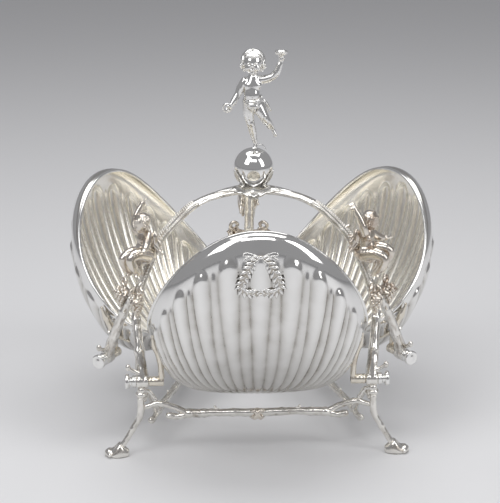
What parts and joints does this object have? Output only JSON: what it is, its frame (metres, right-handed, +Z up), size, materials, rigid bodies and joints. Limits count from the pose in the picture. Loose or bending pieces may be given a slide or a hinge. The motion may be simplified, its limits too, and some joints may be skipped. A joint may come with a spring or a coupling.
{
  "type": "triple folding shell biscuit box",
  "caption": "Silver-plated biscuit box: fluted shell bowls on a branch frame fold up on pivots under an arched crown with a dancing figure on a ball.",
  "frame": {"origin": "on the floor, in the middle of the object's footprint, under the axis of ball and finial", "axes": "+Z up; +Y from the front shell towards the rear corner; +X to the right as seen from the front"},
  "size_m": [0.3324, 0.3229, 0.3386],
  "materials": {
    "shell_silver": "polished silver plate, lightly worn",
    "bright_silver": "polished cast silver plate",
    "worn_silver": "worn silver plate, warm tone",
    "bark_silver": "bark-textured silver plate, dark recesses",
    "tarnished_silver": "cast silver plate, brown tarnish in recesses"
  },
  "bodies": {
    "stand": {"pivot_bolt_front_left": "bright_silver", "pivot_bolt_front_right": "bright_silver", "pivot_bolt_rear_left_left": "bright_silver", "pivot_bolt_rear_left_right": "bright_silver", "pivot_bolt_rear_right_left": "bright_silver", "pivot_bolt_rear_right_right": "bright_silver", "arch_limb_front_left": "bark_silver", "arch_limb_front_right": "bark_silver", "arch_limb_rear": "bark_silver", "branch_front_left": "bark_silver", "branch_rear_left_front": "bark_silver", "branch_rear_right_front": "bark_silver", "branch_front_right": "bark_silver", "branch_rear_left_rear": "bark_silver", "branch_rear_right_rear": "bark_silver", "climbing_putto_front_left": "tarnished_silver", "climbing_putto_front_right": "tarnished_silver", "climbing_putto_rear": "tarnished_silver", "grapevine_front_left": "tarnished_silver", "grapevine_front_right": "tarnished_silver", "grapevine_rear": "tarnished_silver", "leg_front_left": "bark_silver", "leg_front_right": "bark_silver", "leg_rear_left": "bark_silver", "leg_rear_right": "bark_silver", "stretcher_front_to_front_left": "bark_silver", "stretcher_front_to_front_right": "bark_silver", "stretcher_knot_front": "bark_silver", "stretcher_rear_to_rear_left": "bark_silver", "stretcher_rear_to_rear_right": "bark_silver", "stretcher_knot_rear": "bark_silver", "stretcher_left_to_front_left": "bark_silver", "stretcher_left_to_rear_left": "bark_silver", "stretcher_knot_left": "bark_silver", "stretcher_right_to_front_right": "bark_silver", "stretcher_right_to_rear_right": "bark_silver", "stretcher_knot_right": "bark_silver", "crown_hub": "bright_silver", "ball_calyx": "bright_silver", "finial_ball": "bright_silver", "finial_rod_and_nut": "bright_silver", "finial_putto": "bright_silver"},
    "front_shell": {"shell_front": "shell_silver", "wreath_front": "bright_silver", "hinge_strap_front_left": "worn_silver", "hinge_strap_front_right": "worn_silver"},
    "rear_left_shell": {"shell_rear_left": "shell_silver", "wreath_rear_left": "bright_silver", "hinge_strap_rear_left_left": "worn_silver", "hinge_strap_rear_left_right": "worn_silver"},
    "rear_right_shell": {"shell_rear_right": "shell_silver", "wreath_rear_right": "bright_silver", "hinge_strap_rear_right_left": "worn_silver", "hinge_strap_rear_right_right": "worn_silver"}
  },
  "joints": [
    {"name": "front_shell_fold", "type": "hinge", "parent": "stand", "child": "front_shell", "pos_m": [0, -0.0955, 0.0685], "axis": [-1, 0, 0], "range_deg": [0, 47]},
    {"name": "rear_left_shell_fold", "type": "hinge", "parent": "stand", "child": "rear_left_shell", "pos_m": [-0.08271, 0.04775, 0.0685], "axis": [0.5, 0.866, 0], "range_deg": [0, 52.3]},
    {"name": "rear_right_shell_fold", "type": "hinge", "parent": "stand", "child": "rear_right_shell", "pos_m": [0.08271, 0.04775, 0.0685], "axis": [0.5, -0.866, 0], "range_deg": [0, 52.3]}
  ]
}
